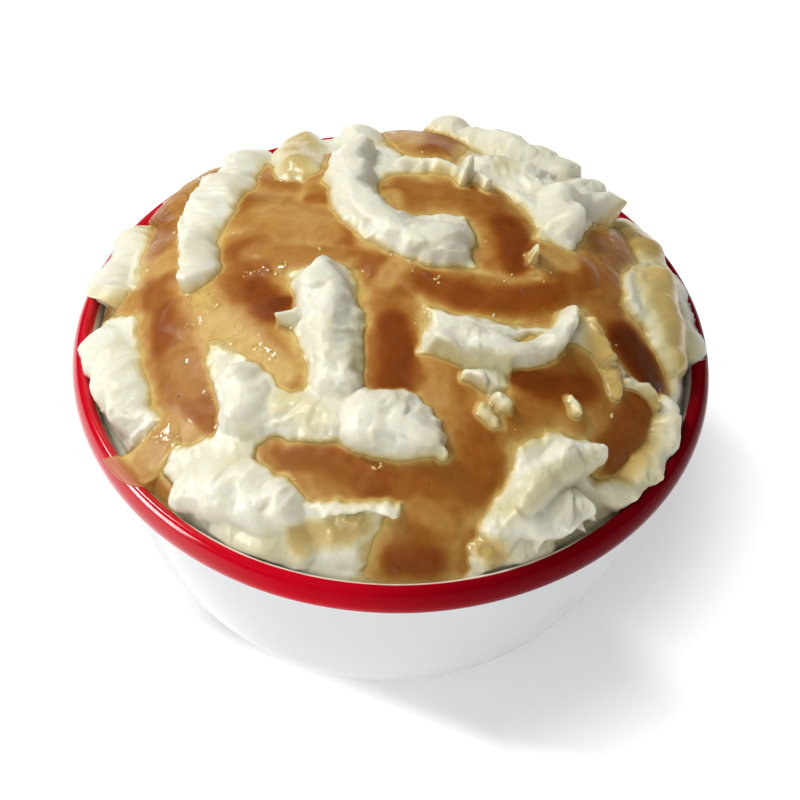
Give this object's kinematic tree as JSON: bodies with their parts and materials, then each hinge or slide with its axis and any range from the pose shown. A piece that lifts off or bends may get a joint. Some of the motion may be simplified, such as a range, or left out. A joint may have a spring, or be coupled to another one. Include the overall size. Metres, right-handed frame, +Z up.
{
  "type": "mashed potato side",
  "caption": "Heap of mashed potato with brown gravy between its folds, in a round white enamelled bowl with a red rolled rim.",
  "frame": {"origin": "on the table, under the middle of the bowl", "axes": "+Z up, -Y towards the side where the gravy runs down to the rim, +X to the right seen from there"},
  "size_m": [0.12, 0.12, 0.0824],
  "materials": {
    "enamel": "glossy vitreous enamel, white with a red rim",
    "potato": "moist mashed potato",
    "gravy": "glossy brown gravy"
  },
  "bodies": {
    "root": {"bowl": "enamel", "mash": "potato", "gravy": "gravy", "gravy_back": "gravy"}
  },
  "joints": []
}
